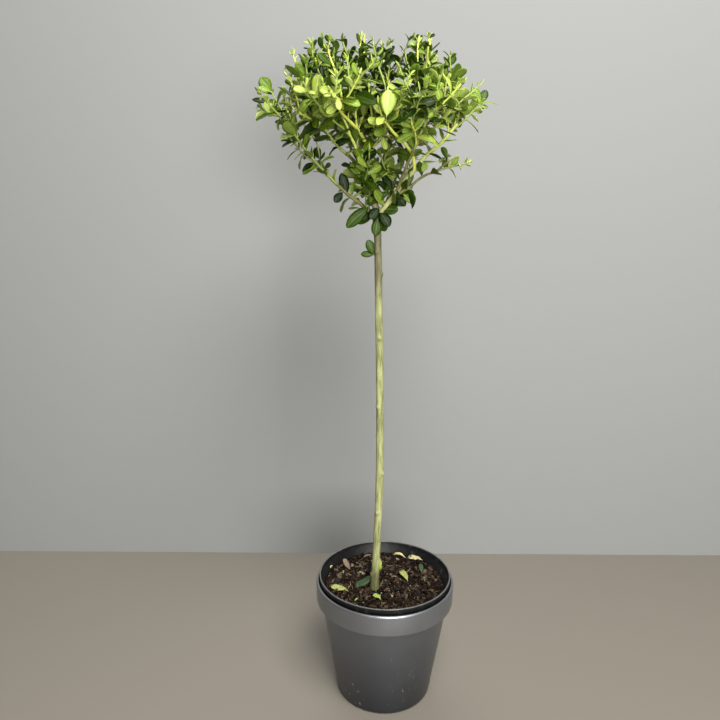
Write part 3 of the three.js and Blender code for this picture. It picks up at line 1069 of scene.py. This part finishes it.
# How bright a green the leaves are, as steps along TONES: on the whole, on young shoots, near a tip,
# towards the outside of the head, and less up at its top and down on the old wood. The young and tip
# steps are the leaves' own paler growth; the outer, top and low left steps are painted light and
# painted shade, and the old wood's step is partly older, darker leaves and partly painted shade.
LEAF_LIGHT = 1.95
YOUNG_LIGHT = 1.1
TIP_LIGHT = 0.6
OUTER_PAINTED_LIGHT = 2.2
TOP_PAINTED_SHADE = 64
TOP_SHADE_FROM = 0.71
OLD_LEAF_AND_PAINTED_SHADE = 0.35
LOW_LEFT_PAINTED_SHADE = 0.7


def leaf_light(place, left, young):
    """How bright the leaves are at a place on a limb, so far from its tip, with painted light and shade by
    where they sit in the head.
    """
    depth = np.linalg.norm((place - HEAD) / (0.13, 0.115, 0.085))
    light = LEAF_LIGHT + OUTER_PAINTED_LIGHT * (depth - 0.78) - TOP_PAINTED_SHADE * max(0, place[2] - TOP_SHADE_FROM)
    if place[2] < OLD_WOOD_TOP:
        light -= OLD_LEAF_AND_PAINTED_SHADE
    if place[2] < OLD_WOOD_TOP - 0.02 and place[0] < 0.02:
        light -= LOW_LEFT_PAINTED_SHADE
    return light + (YOUNG_LIGHT if young else 0) + (TIP_LIGHT if left < TIP_STRETCH else 0)


def clothe(limb, bare, young, fullness):
    """Sets pairs of leaves up a limb, past its bare foot, and small new ones towards its tip."""
    steps = np.linalg.norm(np.diff(limb.path, axis=0), axis=1)
    along = np.append(0, np.cumsum(steps))
    length = along[-1]
    across, over = carried_frames(limb.path)
    ahead = headings(limb.path)
    spray = rng.normal(0, 0.85)
    turn = rng.uniform(0, math.tau)
    reach = length * bare + rng.uniform(0.002, 0.007)
    while reach < length - 0.003:
        step = int(np.searchsorted(along, reach))
        left = length - reach
        light = leaf_light(limb.path[step], left, young) + spray
        for side in (0, math.pi):
            if rng.uniform() > fullness:
                continue
            angle = turn + side + rng.normal(0, 0.25)
            away = across[step] * math.cos(angle) + over[step] * math.sin(angle)
            grown = min(1, 0.3 + left / 0.04)
            size = LEAF_LENGTH * grown * rng.uniform(0.72, 1.16)
            tone = TONES[int(np.clip(round(light + rng.normal(0, 0.85)), 0, 4))]
            opening = math.radians(rng.uniform(48, 82)) * (0.5 + 0.5 * grown)
            foot = limb.path[step] + away * limb.radii[step] * 0.5
            grow_leaf(foot, ahead[step], away, size, opening, tone)
            if left < 0.05 and rng.uniform() < (0.75 if young else 0.35):
                bud = min(4, TONES.index(tone) + 1)
                for _ in range(2):
                    aside = away + rng.normal(0, 0.5, 3)
                    size = rng.uniform(0.0035, 0.0075)
                    grow_leaf(foot, ahead[step], aside, size, rng.uniform(0.1, 0.8), TONES[bud], 0.6)
        turn += math.pi / 2 + rng.normal(0, 0.2)
        reach += LEAF_PAIR_GAP * rng.uniform(0.8, 1.2) * (0.75 if left < TIP_STRETCH else 1)
    tip_tone = TONES[4] if young else TONES[int(rng.choice([1, 2, 3, 4], p=[0.2, 0.4, 0.3, 0.1]))]
    for index in range(rng.integers(3, 6) if young else rng.integers(2, 4)):
        angle = turn + index * 2.4
        away = across[-1] * math.cos(angle) + over[-1] * math.sin(angle)
        size = LEAF_LENGTH * rng.uniform(0.22, 0.5)
        grow_leaf(limb.path[-1], ahead[-1], away, size, math.radians(rng.uniform(5, 45)), tip_tone, 0.7)


# Leaves that stand out from the rest, at the head's side tips, round the fork and on the stem:
# the foot and the tip of each from the fork, in millimetres, the way that its face looks, its
# width share and its tone.
FRONT, BACK = (0.1, -1, 0.35), (-0.1, 1, 0.35)
LONE_LEAVES = [
    ((-115, -9, 109.5), (-132, -13, 113), FRONT, 0.34, "deep"),
    ((-113, -7, 120.5), (-123, -11, 134), FRONT, 0.82, "mid"),
    ((-113, -8, 120), (-124, -15, 124), FRONT, 0.6, "fresh"),
    ((109, -8, 110.5), (127, -10, 111.5), (0, -0.5, 1), 0.34, "fresh"),
    ((108, -9, 110.5), (97, -14, 124), FRONT, 0.75, "fresh"),
    ((109, -6, 111), (115, -4, 125), FRONT, 0.6, "dark"),
    ((48, -14, 157), (33, -22, 167), FRONT, 0.62, "fresh"),
    ((-79.5, -15, 135.5), (-83.5, -21, 148), FRONT, 0.6, "fresh"),
    ((6.8, -80, 87.5), (8.8, -85, 110), FRONT, 0.74, "lime"),
    ((-2.5, -79, 98), (-24, -76, 108.5), FRONT, 0.62, "dark"),
    ((-9, -2, 3), (-33, -12, -18), FRONT, 0.42, "dark"),
    ((1, -5, -9), (-1, -10, -28), FRONT, 0.62, "dark"),
    ((4, -3, -3), (14, -12, -17), FRONT, 0.72, "deep"),
    ((6, -2, 0), (23, -8, 1), FRONT, 0.78, "dark"),
    ((2, -6, 1), (-7, -14, -9), FRONT, 0.8, "deep"),
    ((13, -4, 18), (-12, -12, 8), FRONT, 0.4, "dark"),
    ((5, -5, 38), (16, -10, 22), FRONT, 0.5, "deep"),
    ((18, 0, 18), (32, -6, 5), FRONT, 0.62, "deep"),
    ((27, 2, 18), (40, -6, 8), FRONT, 0.5, "fresh"),
    ((-12, 0, 17), (-23, -4, 21), FRONT, 0.55, "deep"),
    ((-8, 3, 2), (-14, -2, -12), FRONT, 0.6, "deep"),
    ((-33, 0, 16), (-38, -6, 38), FRONT, 0.5, "deep"),
    ((-38, 0, 18), (-46, -6, 8), FRONT, 0.7, "deep"),
    ((3, 5, -6), (10, 20, -22), BACK, 0.6, "deep"),
    ((-5, 5, -2), (-20, 18, -14), BACK, 0.6, "deep"),
    ((-2, 5, 6), (-8, 25, 8), BACK, 0.6, "dark"),
    ((6, 5, 6), (24, 14, 6), BACK, 0.6, "deep"),
    ((-3, -1, -49), (-9, -5, -33), FRONT, 0.62, "dark"),
    ((-3, -1, -49), (-17, -4, -48), FRONT, 0.55, "dark"),
    ((7.2, -11, -430), (9.5, -14, -418), FRONT, 0.4, "lime"),
    ((7.2, -11, -431), (11, -13, -426), FRONT, 0.5, "fresh"),
]
for foot, tip, face, share, tone in LONE_LEAVES:
    foot, tip = FORK + np.array(foot) / 1000, FORK + np.array(tip) / 1000
    length = np.linalg.norm(tip - foot)
    blade = leaf_points(BROAD_LEAF, length, length * share, 0.22, 0.35, 0.1, 0.05, 0.3)
    sprays[tone][0].add(lay(blade, foot, tip - foot, np.array(face)), BROAD_LEAF.faces, BROAD_LEAF.worn)

for twig in twigs:
    clothe(twig, twig.bare, twig.young, 0.9)
for name in BOUGHS:
    clothe(limbs[name], 0.08, False, 0.62)

for tone, (bundle, finishes) in sprays.items():
    spray = bundle.make("leaves_" + tone + "_spray", "leaf", finishes)
    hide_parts(*LEAF_NODES)


# ---- Fallen leaves ----
# A few old leaves of the plant's own have dropped onto the compost. Some are still green, and
# others have dried to yellow, cream and brown, with curled edges.

# name: (plain colour, colour of its spots, how far apart they are)
FALLEN_COLOURS = {
    "green": ((0.03, 0.06, 0.02), (0.055, 0.095, 0.035), 0.6),
    "bright": ((0.24, 0.34, 0.07), (0.38, 0.46, 0.13), 0.6),
    "yellow": ((0.32, 0.34, 0.1), (0.1, 0.08, 0.02), 0.6),
    "cream": ((0.62, 0.55, 0.27), (0.3, 0.2, 0.08), 0.62),
    "tan": ((0.5, 0.44, 0.24), (0.06, 0.035, 0.018), 0.64),
    "brown": ((0.2, 0.14, 0.1), (0.09, 0.05, 0.035), 0.55),
}
fallen_finishes = {}
for name, (plain, spotted, apart) in FALLEN_COLOURS.items():
    look = ("fallen_" + name, plain, spotted, (0.003, 3, 0.6), (apart, apart + 0.08), (0.0015, 2), 0.0003)
    fallen_finishes[name] = mottled(*look, roughness=0.6, specular_ior_level=0.3)

# name: (x and y of its middle in millimetres, the way it points, lift of its tip, length, width
# share, fold, arch, finish)
FALLEN_LIFT = 0.0044
FALLEN_LEAVES = {
    "speckled": (-56, -18, 165, 16, 0.021, 0.55, 0.3, 0.4, "yellow"),
    "teardrop": (-47, 33, 150, 62, 0.016, 0.6, 0.25, 0.4, "brown"),
    "front": (-10, -38, 150, 34, 0.011, 0.7, 0.5, 0.8, "bright"),
    "small_front": (-35, -42, 60, 10, 0.006, 0.6, 0.4, 0.3, "bright"),
    "curled": (21, 62, 140, 12, 0.019, 0.36, 0.8, 0.9, "cream"),
    "holed": (42, 55, 150, 6, 0.019, 0.6, 0.2, 0.3, "tan"),
    "folded": (25, 12, 112, 16, 0.02, 0.5, 0.6, 0.4, "yellow"),
    "small_right": (48, 28, 95, 40, 0.012, 0.6, 0.3, 0.3, "green"),
    "stem_side": (-28, -6, 22, 36, 0.03, 0.62, 0.12, 0.5, "green"),
    "crumb": (-68, 30, 80, 10, 0.006, 0.6, 0.5, 0.4, "cream"),
    "curl": (12, 8, 160, 10, 0.008, 0.4, 0.8, 0.9, "brown"),
    "back": (-20, 60, 40, 8, 0.015, 0.5, 0.4, 0.5, "brown"),
}
for name, (x, y, points_to, lift, length, share, fold, arch, finish) in FALLEN_LEAVES.items():
    blade = leaf_points(BROAD_LEAF, length, length * share, fold, arch, 0.3, 0.15, 0.25)
    way = heading(points_to, lift)
    middle = np.array((x / 1000, y / 1000, bed_height(x / 1000, y / 1000) + FALLEN_LIFT))
    foot = middle - way * (length / 2, length / 2, length / 2 * 0.7)
    blade = lay(blade, foot, way, heading(points_to, lift + 90))
    add_piece("fallen_leaf_" + name, "leaf", blade, BROAD_LEAF.faces, [fallen_finishes[finish]])


# ---- Floor and light ----
# A plain pale floor and a plain grey backdrop, under wide soft lights. The backdrop has one
# side only, so that it doesn't hide the plant, or keep the light off it, from behind.

WALL_PLACE = 0.333
WALL_SIZE = 3
ROOM = 2.6

floor_finish = Finish("studio_floor", base_color=(0.198, 0.178, 0.147), roughness=0.6)
wall_finish = Finish("studio_wall", base_color=(0.268, 0.274, 0.27), roughness=0.8)
behind = wall_finish.node("NewGeometry", output="Backfacing")
clear = wall_finish.node("BsdfTransparent")
one_sided = wall_finish.node(
    "MixShader", None, {0: behind, 1: Wire(wall_finish, wall_finish.shader.outputs[0]), 2: clear}
)
wall_finish.tree.links.new(one_sided.socket, wall_finish.tree.nodes["Material Output"].inputs[0])


def add_backdrop(name, corners, finish, casts_shade):
    """A flat sheet of the studio's, which isn't part of the plant."""
    mesh = bpy.data.meshes.new(name)
    mesh.from_pydata(corners, [], [(0, 1, 2, 3)])
    mesh.materials.append(finish.material)
    backdrop = bpy.data.objects.new(name, mesh)
    backdrop.visible_shadow = casts_shade
    scene.collection.objects.link(backdrop)


corners = [(-ROOM, -ROOM, 0), (ROOM, -ROOM, 0), (ROOM, ROOM, 0), (-ROOM, ROOM, 0)]
add_backdrop("floor", corners, floor_finish, True)
foot = [(-WALL_SIZE, WALL_PLACE, 0), (WALL_SIZE, WALL_PLACE, 0)]
head = [(WALL_SIZE, WALL_PLACE, WALL_SIZE), (-WALL_SIZE, WALL_PLACE, WALL_SIZE)]
add_backdrop("wall", foot + head, wall_finish, False)


def add_light(name, place, target, size, watts, colour):
    """A square soft light that faces a target."""
    light = bpy.data.lights.new(name, "AREA")
    light.size = size
    light.energy = watts
    light.color = colour
    holder = bpy.data.objects.new(name, light)
    holder.location = place
    holder.visible_camera = False
    way = Vector(target) - Vector(place)
    holder.rotation_euler = way.to_track_quat("-Z", "Y").to_euler()
    scene.collection.objects.link(holder)


add_light("overhead", (0.36, -1.1, 2.0), (0, 0, 0.45), 1.0, 61, (1, 0.985, 0.95))
add_light("front", (0.38, -1.75, 0.7), (0, 0, 0.5), 0.8, 33, (1, 0.99, 0.97))
add_light("back", (-0.6, 1.9, 2.3), (0, 0, 0.5), 2.2, 24, (1, 0.99, 0.97))

FILL_STRENGTH = 0.05
BACKGROUND = 0.5

world = bpy.data.worlds.new("studio")
world.use_nodes = True
fill = world.node_tree.nodes["Background"]
fill.inputs["Color"].default_value = (0.97, 0.98, 1, 1)
seen = world.node_tree.nodes.new("ShaderNodeLightPath")
strength = world.node_tree.nodes.new("ShaderNodeMapRange")
strength.inputs["To Min"].default_value = FILL_STRENGTH
strength.inputs["To Max"].default_value = BACKGROUND
world.node_tree.links.new(seen.outputs["Is Camera Ray"], strength.inputs["Value"])
world.node_tree.links.new(strength.outputs[0], fill.inputs["Strength"])
scene.world = world
